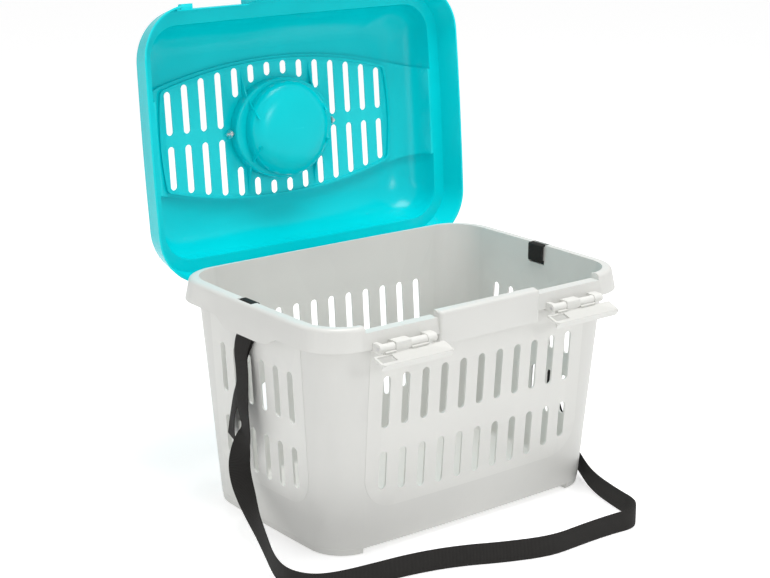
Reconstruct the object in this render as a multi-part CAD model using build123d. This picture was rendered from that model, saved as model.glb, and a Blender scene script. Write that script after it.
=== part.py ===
from build123d import *
import math
import os

os.makedirs("parts", exist_ok=True)

# Basket, all in mm. X runs along the long front side, -Y is the front, Z is up
BASE_LENGTH, BASE_WIDTH = 383.5, 249.0
TOP_LENGTH, TOP_WIDTH = 414.0, 288.0
WALL_CORNER = 44.5
WALL_BULGE_LONG, WALL_BULGE_SHORT = 3.9, 3.0
RIM_TOP = 270.0
FLOOR_Z = 4.0
RUNNER_X = 152.0
WALL = 2.0

# Rim and apron
APRON_LOW_Z, TAB_LOW_Z = 245.0, 234.5
RIM_LENGTH, RIM_WIDTH = 436.0, 301.0
APRON_LENGTH, APRON_WIDTH = 443.8, 308.0
RIM_BULGE = 1.5

# Ventilation slots of the basket walls
SLOT_WIDTH = 10.0
FRONT_PITCH, FRONT_COUNT = 26.3, 11
SIDE_PITCH, SIDE_COUNT = 26.5, 6
UPPER_SLOTS = (146.0, 206.0)
LOWER_SLOTS = (63.0, 118.0)

# Latches, bays and rods
LATCH_X = 122.0
ROD_Y, ROD_Z = 163.0, 247.0
ROD_RADIUS, ROD_LENGTH = 2.0, 76.0
KNUCKLE_RADIUS, LUG_RADIUS = 4.4, 4.8
RUNNING = 0.05
BAY = (71.4, 168.0)
BAY_TOP = 263.0
BLOCK_Y, BLOCK_LOW_Z = 158.0, 233.0
LATCH_HALF = 47.5
KNUCKLES = [(-32.0, -17.8), (3.2, 25.4)]
LUGS = [(-ROD_LENGTH / 2, -32.4), (-17.4, 2.8), (25.8, ROD_LENGTH / 2)]
LATCH_HANG, LATCH_CLOSED = 108.0, -25.5
WINDOW_X, WINDOW_Z = (-45.0, -25.0), (8.6, 19.5)

# Lid, heights measured up from the lip plane of the closed lid
LIP_Z = 240.5
LID_LENGTH, LID_WIDTH, LID_CORNER = 452.0, 322.0, 60.0
LID_WALL = 2.2
SKIRT_TOP = 32.0
SKIRT_FLARE = 6.0
RECESS_Y, RECESS_LOW, TOOTH_Y = 155.6, 15.0, 161.6
RECESS_WALL = 1.4
POCKET_HALF = 74.0
LEDGE_INSET = 20.8
LID_TOP = 86.5
BAND_DROP = 4.2
OPEN_ANGLE = 95.0
GRILLE_PITCH, GRILLE_COUNT, GRILLE_SLOT = 24.0, 14, 9.4
GRILLE_V = -2.0

# Hand bowl in the lid and the folding handle over it
COLLAR_A, COLLAR_B = 71.5, 62.0
COLLAR_LOW = 66.0
BOWL_RADIUS, BOWL_LOW = 58.0, 42.0
PIVOT_W = 74.0

# Strap webbing
WEB_WIDTH, WEB_THICK = 25.0, 1.5
STRAP_Y = 4.0


def barrel(length, width, corner, bulge_long, bulge_short):
    """Rounded rectangle whose long and short sides bow outwards."""
    x, y = length / 2, width / 2
    edges = [
        ThreePointArc((-x, -y), (0, -y - bulge_long), (x, -y)),
        ThreePointArc((x, -y), (x + bulge_short, 0), (x, y)),
        ThreePointArc((x, y), (0, y + bulge_long), (-x, y)),
        ThreePointArc((-x, y), (-x - bulge_short, 0), (-x, -y)),
    ]
    plate = make_face(edges)
    return fillet(plate.vertices(), corner)


def stack(sections, ruled=True):
    """Solid through a list of (height, face) pairs."""
    return loft([Pos(0, 0, z) * face for z, face in sections], ruled=ruled)


def wall_section(z, grow=0.0):
    """Outline of the basket wall at height z, moved outwards by grow."""
    s = z / RIM_TOP
    length = BASE_LENGTH + (TOP_LENGTH - BASE_LENGTH) * s + 2 * grow
    width = BASE_WIDTH + (TOP_WIDTH - BASE_WIDTH) * s + 2 * grow
    return barrel(length, width, WALL_CORNER + grow, WALL_BULGE_LONG, WALL_BULGE_SHORT)


def wall_body(low, high, grow=0.0):
    return stack([(low, wall_section(low, grow)), (high, wall_section(high, grow))])


def rim_section(z, grow=0.0):
    """Outline of the rim apron at height z; the apron flares downwards."""
    s = (RIM_TOP - z) / (RIM_TOP - APRON_LOW_Z)
    length = RIM_LENGTH + (APRON_LENGTH - RIM_LENGTH) * s + 2 * grow
    width = RIM_WIDTH + (APRON_WIDTH - RIM_WIDTH) * s + 2 * grow
    return barrel(length, width, 52 + grow, RIM_BULGE, RIM_BULGE)


def box_between(x0, x1, y0, y1, z0, z1):
    box = Box(x1 - x0, y1 - y0, z1 - z0)
    return Pos((x0 + x1) / 2, (y0 + y1) / 2, (z0 + z1) / 2) * box


def upright_slot(centre, low, high, width, along_x):
    """Round-ended slot cutter through both opposite walls."""
    plane = Plane.YZ if along_x else Plane.XZ
    face = Pos(centre, (low + high) / 2) * SlotOverall(high - low, width, rotation=90)
    return extrude(plane * face, amount=300, both=True)


def slot_columns(pitch, count, along_x, outer_rise):
    """Two rows of slots; the outer columns end higher at the bottom."""
    cutters = []
    for k in range(count):
        centre = (k - (count - 1) / 2) * pitch
        edge = abs(centre) / ((count - 1) / 2 * pitch)
        low = LOWER_SLOTS[0] + outer_rise * max(0.0, edge - 0.55) / 0.45
        cutters.append(upright_slot(centre, UPPER_SLOTS[0], UPPER_SLOTS[1], SLOT_WIDTH, along_x))
        cutters.append(upright_slot(centre, low, LOWER_SLOTS[1], SLOT_WIDTH, along_x))
    return cutters


# Basket wall with its floor and a low runner under each short side
outer = wall_body(FLOOR_Z, RIM_TOP - 1)
outer = fillet(outer.faces().sort_by(Axis.Z)[0].edges(), 7)
inner = wall_body(FLOOR_Z + WALL, RIM_TOP + 2, -WALL)
inner = fillet(inner.faces().sort_by(Axis.Z)[0].edges(), 5)
shell_outer = wall_body(APRON_LOW_Z - 30, RIM_TOP)

feet = wall_body(0, FLOOR_Z + 6, -0.6)
feet = fillet(feet.faces().sort_by(Axis.Z)[0].edges(), 3)
feet -= box_between(-RUNNER_X, RUNNER_X, -140, 140, -1, FLOOR_Z + 7)

# Raised panels round the slot fields
panel_front = Pos(0, 171) * RectangleRounded(310, 240, 40)
panel_side = Pos(0, 171) * RectangleRounded(178, 240, 36)
proud = wall_body(30, 250, 0.4)
panels = (proud & extrude(Plane.XZ * panel_front, amount=300, both=True)) + (
    proud & extrude(Plane.YZ * panel_side, amount=300, both=True))

# Rim: a flat top that turns down into a flared apron, hollow underneath
apron_outer = stack([(TAB_LOW_Z, rim_section(TAB_LOW_Z)), (RIM_TOP, rim_section(RIM_TOP))])
apron_outer = fillet(apron_outer.faces().sort_by(Axis.Z)[-1].edges(), 5)
apron_inner = stack([(TAB_LOW_Z, rim_section(TAB_LOW_Z, -WALL)),
                     (RIM_TOP - WALL, rim_section(RIM_TOP - WALL, -WALL))])
apron_inner = fillet(apron_inner.faces().sort_by(Axis.Z)[-1].edges(), 3)
hollow = apron_inner - shell_outer
tab_trim = box_between(-240, 240, -170, 170, TAB_LOW_Z - 1, APRON_LOW_Z)
tab = Polyline((-68, 246), (-50, 236.5), (-40, TAB_LOW_Z), (30, TAB_LOW_Z), (37, 237), (54, 246),
               (-68, 246))
tab_trim -= extrude(Plane.YZ * make_face(tab), amount=300, both=True)
rim = apron_outer - hollow - (tab_trim - shell_outer)

# Front block between the two latch bays, hollow from below
block = box_between(-BAY[0], BAY[0], -BLOCK_Y, -134, BLOCK_LOW_Z, RIM_TOP)
block = fillet(block.edges().filter_by(Axis.Z).group_by(Axis.Y)[0], 4)
block = fillet(block.faces().sort_by(Axis.Y)[0].edges().sort_by(Axis.Z)[-1], 3)
block_hollow = box_between(-BAY[0] + WALL, BAY[0] - WALL, -BLOCK_Y + WALL, -120,
                           BLOCK_LOW_Z - 1, RIM_TOP - WALL) - shell_outer

tub = outer + feet + panels + rim + block - block_hollow - inner

# Latch bays: the rim top steps down and gets its own top plate and end walls
for sx in (-1, 1):
    x0, x1 = sorted((sx * BAY[0], sx * BAY[1]))
    tub -= box_between(x0, x1, -165, -125, BAY_TOP, RIM_TOP + 1)
    tub += box_between(x0, x1, -151, -139.5, BAY_TOP - WALL, BAY_TOP)
    x0, x1 = sorted((sx * BAY[1], sx * (BAY[1] + WALL)))
    tub += box_between(x0, x1, -150, -139.5, BAY_TOP - WALL, RIM_TOP - 1)

# Rod bearings in front and, turned round, behind: three lugs to a latch
for sy in (-1, 1):
    for sx in (-1, 1):
        for k, (a, b) in enumerate(LUGS):
            x0, x1 = sorted((sx * LATCH_X - sy * a, sx * LATCH_X - sy * b))
            y0, y1 = sorted((sy * 150, sy * ROD_Y))
            tub += box_between(x0, x1, y0, y1, ROD_Z - LUG_RADIUS, ROD_Z + LUG_RADIUS)
            nose = extrude(Plane.YZ * (Pos(sy * ROD_Y, ROD_Z) * Circle(LUG_RADIUS)), amount=b - a)
            tub += Pos(x0, 0, 0) * nose
            if k == 1:
                y0, y1 = sorted((sy * 156, sy * (ROD_Y + 4.6)))
                middle = box_between(x0, x1, y0, y1, ROD_Z - LUG_RADIUS, ROD_Z + 5.4)
                outer_face = middle.faces().sort_by(Axis.Y)[0 if sy < 0 else -1]
                tub += fillet(outer_face.edges().filter_by(Axis.X), 1.6)
        bore = extrude(Plane.YZ * (Pos(sy * ROD_Y, ROD_Z) * Circle(ROD_RADIUS)), amount=ROD_LENGTH + 2)
        tub -= Pos(sx * LATCH_X - ROD_LENGTH / 2 - 1, 0, 0) * bore

# Ventilation slots, strap slots in the rim and in the walls below it
cutters = slot_columns(FRONT_PITCH, FRONT_COUNT, False, 11.0)
cutters += slot_columns(SIDE_PITCH, SIDE_COUNT, True, 7.0)
tub -= cutters
for sx in (-1, 1):
    middle = -sx * STRAP_Y
    x0, x1 = sorted((sx * 207.5, sx * 218))
    tub += box_between(x0, x1, middle - 17, middle + 17, RIM_TOP - 4.4, RIM_TOP - 1.5)
    cuts = [(200, 216.2, RIM_TOP - 1.8, RIM_TOP + 1), (211.4, 214.8, 262, RIM_TOP + 1),
            (198, 212, 245.6, 250.4)]
    for near, far, low, high in cuts:
        x0, x1 = sorted((sx * near, sx * far))
        tub -= box_between(x0, x1, middle - 13.5, middle + 13.5, low, high)

# Lid, modelled closed and then turned open about the rear rods
def lid_section(w, inset, corner):
    """Outline of the lid, inset from its lip, w above the lip plane."""
    return barrel(LID_LENGTH - 2 * inset, LID_WIDTH - 2 * inset, corner, 1.2, 2.5)


def skirt(low, high, inset):
    flare = SKIRT_FLARE / SKIRT_TOP
    faces = [(w, lid_section(w, inset + flare * w, LID_CORNER - inset)) for w in (low, high)]
    return stack(faces)


def dome(inset, top):
    """Domed top: a short upright wall that rolls over into a flat crown."""
    start = SKIRT_TOP - 6
    sections = [(start, lid_section(start, inset, 40 - (inset - LEDGE_INSET)))]
    for t in range(0, 91, 15):
        a = math.radians(t)
        w = top - 44.0 + 44.0 * math.sin(a)
        i = inset + 1.0 + 40.0 * (1 - math.cos(a))
        sections.append((w, lid_section(w, i, 40 - (inset - LEDGE_INSET) - 6 * (1 - math.cos(a)))))
    return stack(sections, ruled=False)


def band(grow):
    """Prism of the barrel-shaped field that crosses the lid from side to side."""
    half, ends = 86.0 + grow, 48.0 + grow
    outline = [
        ThreePointArc((-216, ends), (0, half), (216, ends)),
        Line((216, ends), (216, -ends)),
        ThreePointArc((216, -ends), (0, -half), (-216, -ends)),
        Line((-216, -ends), (-216, ends)),
    ]
    return Pos(0, -GRILLE_V, 30) * extrude(make_face(outline), amount=80)


def top_skin(grow, lower):
    """Dome with the barrel band set BAND_DROP lower."""
    inset, top = LEDGE_INSET + lower, LID_TOP - lower
    high = dome(inset, top)
    low = dome(inset + 3.0, top - BAND_DROP)
    return (high - band(grow)) + (low & band(grow))


def pocket(inset, low):
    """Block under the lid's front edge that clears the block of the basket."""
    half = POCKET_HALF - inset
    body = box_between(-half, half, -165 + inset, -120, low, SKIRT_TOP - inset)
    return fillet(body.edges().filter_by(Axis.Z).group_by(Axis.Y)[0], 6 - inset)


def bowl(wall, high):
    """Hand bowl seen as a solid: an oval collar with a round bowl under it."""
    r, low = BOWL_RADIUS - wall, BOWL_LOW + wall
    profile = [
        Spline((0, low), (0.5 * r, low + 0.9), (0.8 * r, low + 4.2), (0.95 * r, low + 9.6),
               (r, low + 17), tangents=[(1, 0), (0, 1)]),
        Line((r, low + 17), (r, COLLAR_LOW + wall + 3)),
        Line((r, COLLAR_LOW + wall + 3), (0, COLLAR_LOW + wall + 3)),
        Line((0, COLLAR_LOW + wall + 3), (0, low)),
    ]
    dish = revolve(Plane.XZ * make_face(profile), axis=Axis.Z)
    collar = extrude(Ellipse(COLLAR_A - wall, COLLAR_B - wall), amount=high - COLLAR_LOW - wall)
    collar = fillet(collar.faces().sort_by(Axis.Z)[0].edges(), 2.5)
    return Pos(0, -GRILLE_V, 0) * (dish + Pos(0, 0, COLLAR_LOW + wall) * collar)


def grille_border():
    """Raised line round the slot field on the underside."""
    outline = [
        ThreePointArc((-167, 61), (0, 85), (167, 61)),
        ThreePointArc((167, 61), (172, 0), (167, -61)),
        ThreePointArc((167, -61), (0, -85), (-167, -61)),
        ThreePointArc((-167, -61), (-172, 0), (-167, 61)),
    ]
    plate = make_face(outline)
    outer_line = fillet(plate.vertices(), 9)
    inner_line = fillet(offset(plate, amount=-3, kind=Kind.INTERSECTION).vertices(), 6)
    ring = extrude(outer_line, amount=3.6) - extrude(inner_line, amount=3.6)
    return Pos(0, -GRILLE_V, 76.8) * ring


def grille_slots():
    cutters = []
    for k in range(GRILLE_COUNT):
        u = (k - (GRILLE_COUNT - 1) / 2) * GRILLE_PITCH
        outer_end = 81.9 - 22.7 * (u / 156) ** 2
        inner_end = 6.7
        if abs(u) < 70:
            inner_end = 66 * math.sqrt(1 - (u / 79) ** 2)
        for side in (-1, 1):
            slot = SlotOverall(outer_end - inner_end, GRILLE_SLOT, rotation=90)
            middle = -GRILLE_V + side * (outer_end + inner_end) / 2
            cutters.append(Pos(u, middle, 70) * extrude(slot, amount=20))
    return cutters


skirt_outer = skirt(0, SKIRT_TOP, 0)
skirt_outer = fillet(skirt_outer.faces().sort_by(Axis.Z)[-1].edges(), 3)
lid = skirt_outer + pocket(0, 0) + top_skin(0, 0)
lid -= skirt(-1, SKIRT_TOP - LID_WALL, LID_WALL)
lid -= pocket(LID_WALL, -1)
lid -= top_skin(LID_WALL, LID_WALL)

# Skirt stepped back behind the latches, with a tooth for the window of each latch
for sy in (-1, 1):
    for sx in (-1, 1):
        x0, x1 = sorted((sx * POCKET_HALF, sx * 171))
        y0, y1 = sorted((sy * (RECESS_Y - RECESS_WALL), sy * 160))
        back = box_between(x0 - RECESS_WALL, x1 + RECESS_WALL, y0, y1, RECESS_LOW, SKIRT_TOP - 1)
        lid += back & skirt_outer
        y0, y1 = sorted((sy * RECESS_Y, sy * 175))
        lid -= box_between(x0, x1, y0, y1, -2, SKIRT_TOP + 2)
        y0, y1 = sorted((sy * 145, sy * 175))
        lid -= box_between(x0, x1, y0, y1, -2, RECESS_LOW)
        x0, x1 = sorted((-sy * (WINDOW_X[0] + 2.4), -sy * (WINDOW_X[1] - 2.4)))
        side = Polyline((154.5, 17.6), (TOOTH_Y, 17.6), (TOOTH_Y, 23.0), (TOOTH_Y - 1.5, 25.0),
                        (154.5, 25.0), (154.5, 17.6))
        tooth = extrude(Plane.YZ * make_face(side), amount=x1 - x0)
        tooth = Pos(sx * LATCH_X + x0, 0, 0) * tooth
        lid += tooth if sy > 0 else Pos(2 * sx * LATCH_X + x0 + x1, 0, 0) * Rot(0, 0, 180) * tooth

# Grille, its border line, the hand bowl and the four ribs beside it
lid += grille_border()
lid -= grille_slots()
lid += bowl(0, LID_TOP - BAND_DROP)
for u in (-50, 50):
    for side in (-1, 1):
        edge = Spline((side * 84, 80.6), (side * 60, 77), (side * 42, 69), (side * 29, 57),
                      (side * 17, 44.5))
        closing = Polyline((side * 17, 44.5), (side * 17, 80.6), (side * 84, 80.6))
        rib = extrude(Plane.YZ * make_face([edge, *closing.edges()]), amount=1, both=True)
        lid += Pos(u, -GRILLE_V, 0) * rib
lid -= bowl(LID_WALL, 100)

# Bores for the handle pins through the collar wall
PIVOT_Y = -GRILLE_V
for sx in (-1, 1):
    x0 = min(sx * 60, sx * 80)
    bore = Pos(x0, PIVOT_Y, PIVOT_W) * (Rot(0, 90, 0) * Cylinder(
        ROD_RADIUS, 20, align=(Align.CENTER, Align.CENTER, Align.MIN)))
    lid -= bore

# Folding handle: half an oval bar with an eye at each end, folded to the back
bar = Ellipse(65, 53) - Ellipse(56.5, 44.5)
bar = bar & (Pos(0, 30) * Rectangle(140, 60))
handle = Pos(0, PIVOT_Y, PIVOT_W - 3.6) * extrude(bar, amount=7.6)
handle = fillet(handle.edges().filter_by(GeomType.ELLIPSE), 2.4)
for sx in (-1, 1):
    eye = Rot(0, 90, 0) * Cylinder(5.2, 8.5)
    handle += Pos(sx * 60.75, PIVOT_Y, PIVOT_W) * eye
eye_bore = Rot(0, 90, 0) * Cylinder(ROD_RADIUS + RUNNING, 160)
handle -= Pos(0, PIVOT_Y, PIVOT_W) * eye_bore


def handle_pin(side):
    pin = Rot(0, 90, 0) * Cylinder(ROD_RADIUS, 27)
    pin = chamfer(pin.edges(), 0.4)
    return Pos(side * 67.5, PIVOT_Y, PIVOT_W) * pin


def handle_clip(side):
    clip = Rot(0, 90, 0) * (Cylinder(5.0, 2.4) - Cylinder(ROD_RADIUS, 2.4))
    return Pos(side * 76.0, PIVOT_Y, PIVOT_W) * clip


def latch():
    """Latch standing closed, rod axis on X through the origin, outside towards -Y."""
    body = box_between(-LATCH_HALF, LATCH_HALF, -6.2, -3.8, 6.2, 24)
    body = fillet(body.edges().filter_by(Axis.Y).group_by(Axis.Z)[-1], 5)
    lip = box_between(-LATCH_HALF, LATCH_HALF, -11.5, -5, 21.4, 24)
    lip = fillet(lip.edges().filter_by(Axis.Z).group_by(Axis.Y)[0], 4)
    body += lip
    body -= box_between(*WINDOW_X, -8, -2, *WINDOW_Z)
    for x0, x1 in KNUCKLES:
        knuckle = Rot(0, 90, 0) * Cylinder(KNUCKLE_RADIUS, x1 - x0)
        body += Pos((x0 + x1) / 2, 0, 0) * knuckle
        body += box_between(x0, x1, -6.2, -1.5, 0, 7)
    return body - Rot(0, 90, 0) * Cylinder(ROD_RADIUS + RUNNING, 90)


def rod():
    """Steel rod along X that fills the bores of the three lugs."""
    return chamfer((Rot(0, 90, 0) * Cylinder(ROD_RADIUS, ROD_LENGTH)).edges(), 0.4)


def quad_spline(points, count):
    """Clamped uniform quadratic B-spline through control points, as a list of samples."""
    spans = len(points) - 2
    knots = [0, 0, 0] + list(range(1, spans)) + [spans] * 3
    samples = []
    for k in range(count):
        t = spans * k / (count - 1)
        i = min(int(t), spans - 1)
        a, b, c = points[i], points[i + 1], points[i + 2]
        k1, k2, k3, k4 = knots[i + 1], knots[i + 2], knots[i + 3], knots[i + 4]
        d = [(t - k1) / (k3 - k1), (t - k2) / (k4 - k2)]
        ab = [p + (q - p) * d[0] for p, q in zip(a, b)]
        bc = [p + (q - p) * d[1] for p, q in zip(b, c)]
        s = (t - k2) / (k3 - k2)
        samples.append([p + (q - p) * s for p, q in zip(ab, bc)])
    return samples


def webbing(route, count):
    """Flat webbing along a route of (x, y, z, heading of its flat side in degrees)."""
    samples = quad_spline(route, count)
    faces = []
    for k, (x, y, z, heading) in enumerate(samples):
        before, after = samples[max(k - 1, 0)], samples[min(k + 1, count - 1)]
        tangent = Vector(*[q - p for p, q in zip(before[:3], after[:3])]).normalized()
        flat = Vector(math.cos(math.radians(heading)), math.sin(math.radians(heading)), 0)
        flat = (flat - tangent * flat.dot(tangent)).normalized()
        plane = Plane(origin=(x, y, z), x_dir=flat, z_dir=tangent)
        faces.append(plane * Rectangle(WEB_THICK, WEB_WIDTH))
    return loft(faces, ruled=True)


def side_web(points, corner):
    """Webbing bent in the XZ plane, centred on Y."""
    path = FilletPolyline(*points, radius=corner)
    face = trace(path, WEB_THICK)
    return extrude(Plane.XZ * face, amount=WEB_WIDTH / 2, both=True)


def slider(side):
    """Three-bar slide between the two strands of webbing."""
    body = box_between(-0.6, 0.6, -17.5, 17.5, 228, 242)
    for sy in (-1, 1):
        y0, y1 = sorted((sy * 14.6, sy * 17.5))
        body += box_between(-3.7, 2.9, y0, y1, 228, 242)
    body += box_between(-3.7, -2.5, -17.5, 17.5, 233, 237)
    turn = 0 if side < 0 else 180
    return Rot(0, 0, turn) * (Pos(-212, STRAP_Y, 0) * body)


# Strap route from the left slide over the floor to the right slide
FREE_RUN = [
    (-213.6, 4, 235.5, 184), (-215, 17.2, 216.7, 183.5), (-216.9, 9.2, 185.2, 178.6),
    (-218, 9.8, 146.8, 177.5), (-218.3, 0.5, 121, 164), (-220.1, 10.6, 101.8, 199),
    (-223.1, 13, 70, 236), (-229.5, -20, 38, 214), (-247, -74, 21, 183), (-264, -118, 13.2, 168),
    (-270, -152, 12.8, 184), (-257, -178, 12.8, 224), (-229, -189, 12.8, 250),
    (-190, -194, 12.8, 260), (-143, -199, 12.7, 258), (-92, -213, 12.7, 248),
    (-42, -238, 12.7, 246), (8, -256, 12.7, 264), (54, -254, 12.7, 272),
    (99, -254, 12.7, 268), (134, -258, 12.7, 285), (152, -240, 12.7, 335), (157, -205, 12.7, 347),
    (171, -150, 12.7, 341), (195, -104, 15, 333), (208, -72, 26, 346), (212.5, -43, 55, 352),
    (214.5, -18, 110, 355), (214.5, -7, 175, 358), (213.6, -4, 235.5, 360),
]
LEFT_TAIL = [
    (-210.4, 4, 235.5, 184), (-210.3, 17.2, 213, 174.9), (-209.8, 24.5, 190, 169.9),
    (-209.6, 25.4, 162, 164.6), (-209.4, 44.1, 135, 148.6), (-209.4, 46.9, 99.1, 165.6),
]
RIGHT_TAIL = [
    (210.4, -4, 235.5, 0), (210.4, -6, 215, 0), (210.2, -10, 190, 2), (210, -14, 165, 3),
    (209.5, -16, 140, 2),
]


def strap_loop(side):
    """Webbing up through the rim slot, over the rim and out through the wall slot."""
    points = [(-213.3, 236), (-213.3, 269.2), (-204.6, 269.2), (-204.6, 248), (-210.4, 248),
              (-210.4, 236)]
    return Pos(0, -side * STRAP_Y, 0) * side_web([(-side * x, z) for x, z in points], 1.6)


# Where each piece sits: the lid and its rear latches are turned open together
swing = Pos(0, ROD_Y, ROD_Z) * Rot(-OPEN_ANGLE, 0, 0) * Pos(0, -ROD_Y, -ROD_Z)
on_lid = swing * Pos(0, 0, LIP_Z)

pieces = {
    "tub": tub,
    "lid": on_lid * lid,
    "top_handle": on_lid * handle,
    "handle_pin_left": on_lid * handle_pin(-1),
    "handle_pin_right": on_lid * handle_pin(1),
    "handle_clip_left": on_lid * handle_clip(-1),
    "handle_clip_right": on_lid * handle_clip(1),
    "strap_free_run": webbing(FREE_RUN, 150),
    "strap_left_tail": webbing(LEFT_TAIL, 20),
    "strap_right_tail": webbing(RIGHT_TAIL, 16),
    "strap_left_loop": strap_loop(-1),
    "strap_right_loop": strap_loop(1),
    "strap_left_slider": slider(-1),
    "strap_right_slider": slider(1),
}
for name, sx in (("left", -1), ("right", 1)):
    front = Pos(sx * LATCH_X, -ROD_Y, ROD_Z)
    rear = Pos(sx * LATCH_X, ROD_Y, ROD_Z)
    pieces["front_rod_" + name] = front * rod()
    pieces["rear_rod_" + name] = rear * rod()
    pieces["front_latch_" + name] = front * Rot(LATCH_HANG, 0, 0) * latch()
    pieces["rear_latch_" + name] = swing * rear * Rot(0, 0, 180) * Rot(LATCH_CLOSED, 0, 0) * latch()

for name, piece in pieces.items():
    export_step(piece, "parts/" + name + ".step")
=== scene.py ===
import bmesh
import bpy
import math
import numpy as np
from mathutils import Matrix, Vector


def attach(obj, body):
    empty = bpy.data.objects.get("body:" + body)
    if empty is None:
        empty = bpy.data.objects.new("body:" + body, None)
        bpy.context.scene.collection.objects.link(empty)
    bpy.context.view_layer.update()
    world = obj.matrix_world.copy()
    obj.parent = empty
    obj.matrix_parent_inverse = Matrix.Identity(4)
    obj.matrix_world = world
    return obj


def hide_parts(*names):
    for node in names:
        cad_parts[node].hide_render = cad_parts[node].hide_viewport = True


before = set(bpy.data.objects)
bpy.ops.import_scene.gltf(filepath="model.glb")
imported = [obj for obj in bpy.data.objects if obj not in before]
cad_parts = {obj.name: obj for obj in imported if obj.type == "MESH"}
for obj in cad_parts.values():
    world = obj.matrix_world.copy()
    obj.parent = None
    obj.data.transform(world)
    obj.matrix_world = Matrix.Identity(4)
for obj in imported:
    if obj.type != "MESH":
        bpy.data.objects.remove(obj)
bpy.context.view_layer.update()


# Tub: one injection moulding in pale grey polypropylene, 2 mm thick. Its skin has
# the fine satin grain of a spark-eroded mould, a little uneven in tone where the
# plastic cooled at different speeds, and its edges carry a painted highlight.
class Socket:
    """A shader socket. Arithmetic on it adds Math nodes to its material."""

    def __init__(self, surface, link):
        self.surface = surface
        self.link = link

    def maths(self, operation, *values):
        inputs = dict(enumerate(values or (self,)))
        return self.surface.node("ShaderNodeMath", {"operation": operation}, inputs)

    def __add__(self, other):
        return self.maths("ADD", self, other)

    def __radd__(self, other):
        return self.maths("ADD", other, self)

    def __sub__(self, other):
        return self.maths("SUBTRACT", self, other)

    def __rsub__(self, other):
        return self.maths("SUBTRACT", other, self)

    def __mul__(self, other):
        return self.maths("MULTIPLY", self, other)

    def __rmul__(self, other):
        return self.maths("MULTIPLY", other, self)


class Surface:
    """A material with one Principled shader, built node by node."""

    def __init__(self, name, **shader):
        self.material = bpy.data.materials.new(name)
        self.material.use_nodes = True
        self.tree = self.material.node_tree
        self.shader = self.tree.nodes["Principled BSDF"]
        for socket, value in shader.items():
            title = socket.replace("_", " ").title().replace("Ior", "IOR")
            self.feed(self.shader.inputs[title], value)

    def feed(self, socket, value):
        if isinstance(value, Socket):
            self.tree.links.new(value.link, socket)
        else:
            socket.default_value = value

    def node(self, kind, settings=None, inputs=None, out=0):
        """One node of any type: its settings first, then its sockets."""
        made = self.tree.nodes.new(kind)
        for name, value in (settings or {}).items():
            setattr(made, name, value)
        for name, value in (inputs or {}).items():
            self.feed(made.inputs[name], value)
        return Socket(self, made.outputs[out])

    def set(self, socket, value):
        self.feed(self.shader.inputs[socket], value)

    def place(self):
        return self.node("ShaderNodeTexCoord", out="Object")

    def noise(self, scale, detail):
        """Fine or broad cloudy pattern; scale is in features per metre."""
        inputs = {"Vector": self.place(), "Scale": scale, "Detail": detail}
        return self.node("ShaderNodeTexNoise", None, inputs)

    def blend(self, factor, first, second):
        """Colour that goes from first to second with factor."""
        settings = {"data_type": "RGBA", "clamp_factor": True}
        return self.node("ShaderNodeMix", settings, {0: factor, 6: first, 7: second}, out=2)

    def bump(self, height, depth):
        """Normal of a surface raised by height, which runs from 0 to 1, times depth."""
        inputs = {"Height": height, "Distance": depth, "Strength": 1.0}
        return self.node("ShaderNodeBump", None, inputs)


def moulded_plastic(name, colour, deep, edge_sheen, gloss, grain_depth, **shader):
    """Grained injection moulding: cloudy tone from deep to colour, a painted highlight on its
    edges, and roughness = gloss + 0.10 (cloud - 0.5) + 0.12 (fleck - 0.5)."""
    clouds_per_metre, flecks_per_metre = 14.0, 900.0
    flat, edge_gain, edge_start = 0.5, 9.0, 0.25
    surface = Surface(name, **shader)
    cloud = surface.noise(clouds_per_metre, detail=4.0)
    fleck = surface.noise(flecks_per_metre, detail=2.0)
    tone = surface.blend(cloud * 1.6 - 0.4, deep, colour)
    # Painted highlight: sharp edges are lightened towards the brighter edge colour to stand in
    # for light glinting along them.
    pointiness = surface.node("ShaderNodeNewGeometry", out="Pointiness")
    sheen_mask = (pointiness - flat) * edge_gain - edge_start
    surface.set("Base Color", surface.blend(sheen_mask, tone, edge_sheen))
    surface.set("Roughness", (cloud - 0.5) * 0.10 + (fleck - 0.5) * 0.12 + gloss)
    surface.set("Normal", surface.bump(fleck, grain_depth))
    return surface


def paint(node, surface):
    """The CAD node keeps its mesh and takes this material in every slot."""
    for slot in bpy.data.objects[node].material_slots:
        slot.material = surface.material


tub_plastic = moulded_plastic(
    "tub_plastic",
    colour=(0.715, 0.715, 0.685, 1),
    deep=(0.675, 0.675, 0.65, 1),
    edge_sheen=(0.75, 0.75, 0.72, 1),
    gloss=0.36,
    grain_depth=0.00006,
)
paint("tub", tub_plastic)


# Lid: one moulding in turquoise polypropylene, seen from its hollow side. The grain
# is the tub's, with a stronger gloss, and the colour runs a little darker in cloudy
# patches.
lid_plastic = moulded_plastic(
    "lid_plastic",
    colour=(0.0, 0.69, 0.75, 1),
    deep=(0.0, 0.63, 0.69, 1),
    edge_sheen=(0.02, 0.75, 0.80, 1),
    gloss=0.19,
    grain_depth=0.00008,
    ior=1.3,
)
paint("lid", lid_plastic)


# Folding handle: a half-oval bar in the lid's plastic, lying in the hand bowl on two
# steel pins, each held by a pressed washer inside the collar.
handle_plastic = moulded_plastic(
    "handle_plastic",
    colour=(0.0, 0.72, 0.78, 1),
    deep=(0.0, 0.66, 0.72, 1),
    edge_sheen=(0.04, 0.80, 0.85, 1),
    gloss=0.28,
    grain_depth=0.00005,
    ior=1.3,
)
paint("top_handle", handle_plastic)


def drawn_steel(name):
    """Drawn wire: bright grey with fine uneven streaks."""
    lines_per_metre = 2600.0
    dull, bright = (0.66, 0.66, 0.67, 1), (0.86, 0.86, 0.87, 1)
    surface = Surface(name)
    line = surface.noise(lines_per_metre, detail=1.0)
    surface.set("Base Color", surface.blend(line, dull, bright))
    surface.set("Metallic", 1.0)
    surface.set("Roughness", line * 0.2 + 0.22)
    return surface


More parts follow.
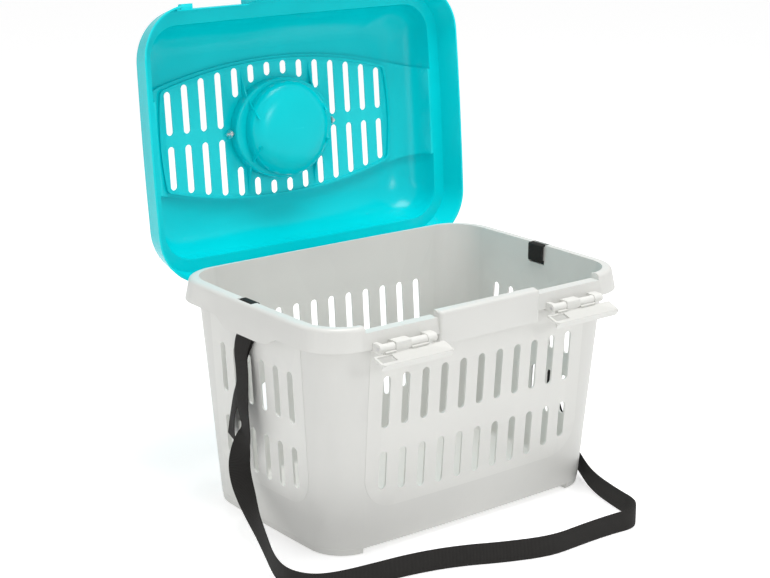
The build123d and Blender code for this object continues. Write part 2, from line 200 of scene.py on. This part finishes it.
pin_steel = drawn_steel("pin_steel")
for side in ("left", "right"):
    paint("handle_pin_" + side, pin_steel)
    paint("handle_clip_" + side, pin_steel)


# Latches: four like mouldings in the tub's grey, each turning on a steel rod that is
# pressed into three lugs of the rim. The two in front hang open, the two behind hold
# the lid.
latch_plastic = moulded_plastic(
    "latch_plastic",
    colour=(0.69, 0.69, 0.66, 1),
    deep=(0.64, 0.64, 0.61, 1),
    edge_sheen=(0.76, 0.76, 0.73, 1),
    gloss=0.32,
    grain_depth=0.00004,
)
rod_steel = drawn_steel("rod_steel")
for side in ("left", "right"):
    paint("front_latch_" + side, latch_plastic)
    paint("rear_latch_" + side, latch_plastic)
    paint("front_rod_" + side, rod_steel)
    paint("rear_rod_" + side, rod_steel)


# Shoulder strap: one length of 25 mm black polypropylene webbing. It hangs from a
# slide on each end of the tub, lies on the floor in front and is folded back through
# the rim, with a short free tail behind each slide. The slides are black satin plastic.
WEB_WIDTH, WEB_THICK = 0.025, 0.0015
RIB_PITCH, YARN_PITCH = 0.0016, 0.0012
SECTION_POINTS, SPAN_POINTS = 36, 16

# x, y, z and the heading of the flat side, as in the part's source but in metres
FREE_RUN = [
    (-0.2136, 0.004, 0.2355, 184), (-0.215, 0.0172, 0.2167, 183.5),
    (-0.2169, 0.0092, 0.1852, 178.6), (-0.218, 0.0098, 0.1468, 177.5),
    (-0.2183, 0.0005, 0.121, 164), (-0.2201, 0.0106, 0.1018, 199),
    (-0.2231, 0.013, 0.07, 236), (-0.2295, -0.02, 0.038, 214), (-0.247, -0.074, 0.021, 183),
    (-0.264, -0.118, 0.0132, 168), (-0.27, -0.152, 0.0128, 184), (-0.257, -0.178, 0.0128, 224),
    (-0.229, -0.189, 0.0128, 250), (-0.19, -0.194, 0.0128, 260), (-0.143, -0.199, 0.0127, 258),
    (-0.092, -0.213, 0.0127, 248), (-0.042, -0.238, 0.0127, 246),
    (0.008, -0.256, 0.0127, 264), (0.054, -0.254, 0.0127, 272), (0.099, -0.254, 0.0127, 268),
    (0.134, -0.258, 0.0127, 285), (0.152, -0.24, 0.0127, 335), (0.157, -0.205, 0.0127, 347),
    (0.171, -0.15, 0.0127, 341), (0.195, -0.104, 0.015, 333), (0.208, -0.072, 0.026, 346),
    (0.2125, -0.043, 0.055, 352), (0.2145, -0.018, 0.11, 355), (0.2145, -0.007, 0.175, 358),
    (0.2136, -0.004, 0.2355, 360),
]
LEFT_TAIL = [
    (-0.2104, 0.004, 0.2355, 184), (-0.2103, 0.0172, 0.213, 174.9),
    (-0.2098, 0.0245, 0.19, 169.9), (-0.2096, 0.0254, 0.162, 164.6),
    (-0.2094, 0.0441, 0.135, 148.6), (-0.2094, 0.0469, 0.0991, 165.6),
]
RIGHT_TAIL = [
    (0.2104, -0.004, 0.2355, 0), (0.2104, -0.006, 0.215, 0), (0.2102, -0.01, 0.19, 2),
    (0.21, -0.014, 0.165, 3), (0.2095, -0.016, 0.14, 2),
]


def spline_points(name, controls):
    """Points of the quadratic NURBS spline with these control points."""
    curve = bpy.data.curves.new(name, "CURVE")
    curve.dimensions = "3D"
    spline = curve.splines.new("NURBS")
    spline.points.add(len(controls) - 1)
    spline.points.foreach_set("co", np.c_[controls, np.ones(len(controls))].ravel())
    spline.order_u = 3
    spline.use_endpoint_u = True
    spline.resolution_u = SPAN_POINTS
    holder = bpy.data.objects.new(name, curve)
    line = bpy.data.meshes.new_from_object(holder)
    points = np.empty(len(line.vertices) * 3)
    line.vertices.foreach_get("co", points)
    bpy.data.objects.remove(holder)
    bpy.data.meshes.remove(line)
    return points.reshape(-1, 3)


def tube_mesh(name, points, uv):
    """Mesh of a grid of points closed round its second axis, with its UV map."""
    rows, columns = points.shape[:2]
    index = np.arange(rows * columns).reshape(rows, columns)
    following = np.roll(index, -1, axis=1)
    quads = np.stack([index[:-1], following[:-1], following[1:], index[1:]], axis=-1)
    quads = quads.reshape(-1, 4)
    mesh = bpy.data.meshes.new(name)
    mesh.from_pydata(points.reshape(-1, 3), [], quads.tolist())
    layer = mesh.uv_layers.new(name="UVMap")
    corner = np.empty(len(mesh.loops), dtype=np.int32)
    mesh.loops.foreach_get("vertex_index", corner)
    layer.data.foreach_set("uv", uv.reshape(-1, 2)[corner].ravel())
    mesh.polygons.foreach_set("use_smooth", np.ones(len(quads), dtype=bool))
    piece = bpy.data.objects.new(name, mesh)
    bpy.context.scene.collection.objects.link(piece)
    return piece


def webbing(name, route):
    """Flat ribbon with rounded edges, carried along the route with its flat side facing
    the route's heading. Its section is the oval |x / a|^4 + |y / b|^4 = 1."""
    route = np.array(route)
    centre = spline_points(name, route[:, :3])
    heading = spline_points(name, np.c_[route[:, 3], route[:, 3] * 0, route[:, 3] * 0])[:, 0]
    tangent = np.gradient(centre, axis=0)
    tangent /= np.linalg.norm(tangent, axis=1, keepdims=True)
    angle = np.radians(heading)
    facing = np.stack([np.cos(angle), np.sin(angle), angle * 0], axis=1)
    facing -= tangent * np.sum(facing * tangent, axis=1, keepdims=True)
    facing /= np.linalg.norm(facing, axis=1, keepdims=True)
    across = np.cross(tangent, facing)
    turn = np.linspace(0, 2 * math.pi, SECTION_POINTS, endpoint=False)
    wide = np.sign(np.cos(turn)) * np.abs(np.cos(turn)) ** 0.5 * WEB_WIDTH / 2
    thick = np.sign(np.sin(turn)) * np.abs(np.sin(turn)) ** 0.5 * WEB_THICK / 2
    points = (
        centre[:, None]
        + across[:, None] * wide[None, :, None]
        + facing[:, None] * thick[None, :, None]
    )
    run = np.r_[0, np.cumsum(np.linalg.norm(np.diff(centre, axis=0), axis=1))]
    uv = np.stack(np.broadcast_arrays(run[:, None], wide[None, :]), axis=-1)
    piece = tube_mesh(name, points, uv)
    close_ends(piece.data)
    return piece, centre, float(run[-1])


def close_ends(mesh):
    """The ribbon's two cut ends become faces of their own."""
    count = len(mesh.vertices)
    ends = [range(SECTION_POINTS)[::-1], range(count - SECTION_POINTS, count)]
    work = bmesh.new()
    work.from_mesh(mesh)
    work.verts.ensure_lookup_table()
    for ring in ends:
        work.faces.new([work.verts[k] for k in ring])
    bmesh.ops.recalc_face_normals(work, faces=work.faces)
    work.to_mesh(mesh)
    work.free()


def woven(name, along_axis, across_axis, by_route):
    """Plain-weave webbing: height = 0.5 + 0.3 sin(rib) + 0.2 sin(yarn), with a rib every
    RIB_PITCH of the run and a yarn every YARN_PITCH of the width. The two axes are those
    of the ribbon's own UV map with by_route, and otherwise the object's."""
    surface = Surface(name, specular_ior_level=0.2)
    where = surface.node("ShaderNodeUVMap", {"uv_map": "UVMap"}) if by_route else surface.place()
    along = surface.node("ShaderNodeSeparateXYZ", None, {"Vector": where}, out=along_axis)
    across = surface.node("ShaderNodeSeparateXYZ", None, {"Vector": where}, out=across_axis)
    rib = (along * (2 * math.pi / RIB_PITCH)).maths("SINE")
    yarn = (across * (2 * math.pi / YARN_PITCH)).maths("SINE")
    height = rib * 0.3 + yarn * 0.2 + 0.5
    fuzz = surface.noise(1500.0, detail=2.0)
    dark, light = (0.008, 0.0075, 0.007, 1), (0.034, 0.032, 0.03, 1)
    surface.set("Base Color", surface.blend(height * 0.8 + fuzz * 0.4 - 0.1, dark, light))
    surface.set("Roughness", fuzz * 0.2 + 0.62)
    surface.set("Normal", surface.bump(height, 0.0003))
    return surface


strap_webbing = woven("strap_webbing", along_axis=0, across_axis=1, by_route=True)
strap = {}
for name, route in (
    ("strap_free_run", FREE_RUN),
    ("strap_left_tail", LEFT_TAIL),
    ("strap_right_tail", RIGHT_TAIL),
):
    piece, centre, length = webbing(name.replace("strap", "webbing"), route)
    piece.data.materials.append(strap_webbing.material)
    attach(piece, "tub")
    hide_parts(name)
    strap[name] = (piece, centre, length)

run, centre, length = strap["strap_free_run"]

loop_webbing = woven("loop_webbing", along_axis=2, across_axis=1, by_route=False)
slider_plastic = moulded_plastic(
    "slider_plastic",
    colour=(0.020, 0.020, 0.021, 1),
    deep=(0.014, 0.014, 0.015, 1),
    edge_sheen=(0.05, 0.05, 0.052, 1),
    gloss=0.42,
    grain_depth=0.00003,
)
for side in ("left", "right"):
    paint("strap_" + side + "_loop", loop_webbing)
    paint("strap_" + side + "_slider", slider_plastic)


# Studio: a white sweep of paper in an even surround, with a soft box above the tub, one
# low on the left and a small key lamp in front that glints on the lid. The sweep is plain
# white to the camera, so only the carrier's own shadow shows on it.
def sweep_paper():
    """White paper that the camera sees burnt out, apart from the soft shadow on it."""
    glow, glow_to_camera = (0.25, 0.25, 0.25, 1), (0.45, 0.45, 0.45, 1)
    surface = Surface("sweep_paper", roughness=0.9, emission_strength=1.0)
    seen = surface.node("ShaderNodeLightPath", out="Is Camera Ray")
    surface.set("Base Color", (0.9, 0.9, 0.9, 1))
    surface.set("Emission Color", surface.blend(seen, glow, glow_to_camera))
    return surface


FLOOR_SIZE, FLOOR_GAP = 60, 0.0005
bpy.ops.mesh.primitive_plane_add(size=FLOOR_SIZE, location=(0, 0, -FLOOR_GAP))
floor = bpy.context.object
floor.name = "floor"
floor.data.materials.append(sweep_paper().material)

SURROUND_LIGHT, SURROUND_SEEN = 0.58, 1.1
world = bpy.data.worlds.new("studio")
bpy.context.scene.world = world
world.use_nodes = True
nodes, links = world.node_tree.nodes, world.node_tree.links
background = nodes["Background"]
path = nodes.new("ShaderNodeLightPath")
amount = nodes.new("ShaderNodeMapRange")
links.new(path.outputs["Is Camera Ray"], amount.inputs["Value"])
amount.inputs["To Min"].default_value = SURROUND_LIGHT
amount.inputs["To Max"].default_value = SURROUND_SEEN
links.new(amount.outputs["Result"], background.inputs["Strength"])
background.inputs["Color"].default_value = (1, 1, 1, 1)


def soft_box(name, place, aim, size, power):
    """Square lamp that faces the point it is aimed at."""
    lamp = bpy.data.lights.new(name, "AREA")
    lamp.size = size
    lamp.energy = power
    holder = bpy.data.objects.new(name, lamp)
    holder.location = place
    holder.rotation_euler = (Vector(aim) - Vector(place)).to_track_quat("-Z", "Y").to_euler()
    bpy.context.scene.collection.objects.link(holder)


soft_box("key", (0.3, -2.2, 1.0), (0, 0.2, 0.4), 0.36, 6)
soft_box("top", (0.1, -0.2, 2.0), (0, -0.02, 0.2), 0.9, 23)
soft_box("left", (-2.4, -0.5, 0.5), (0.1, 0.1, 0.3), 0.8, 4)

# Camera of the photograph: a frame 25 degrees wide, from the front left
SENSOR_WIDTH = 36.0
FOCAL_PIXELS, PHOTO_WIDTH = 1749.15, 770
camera_data = bpy.data.cameras.new("camera")
camera_data.sensor_width = SENSOR_WIDTH
camera_data.lens = FOCAL_PIXELS / PHOTO_WIDTH * SENSOR_WIDTH
camera = bpy.data.objects.new("camera", camera_data)
bpy.context.scene.collection.objects.link(camera)
CAMERA_PLACE = Vector((-1.2084, -1.5382, 0.8090))
CAMERA_AIM = Vector((-0.0164, 0.0118, 0.2474))
aim = (CAMERA_AIM - CAMERA_PLACE).to_track_quat("-Z", "Y")
camera.matrix_world = Matrix.Translation(CAMERA_PLACE) @ aim.to_matrix().to_4x4()
bpy.context.scene.camera = camera

bpy.context.scene.view_settings.view_transform = "Standard"
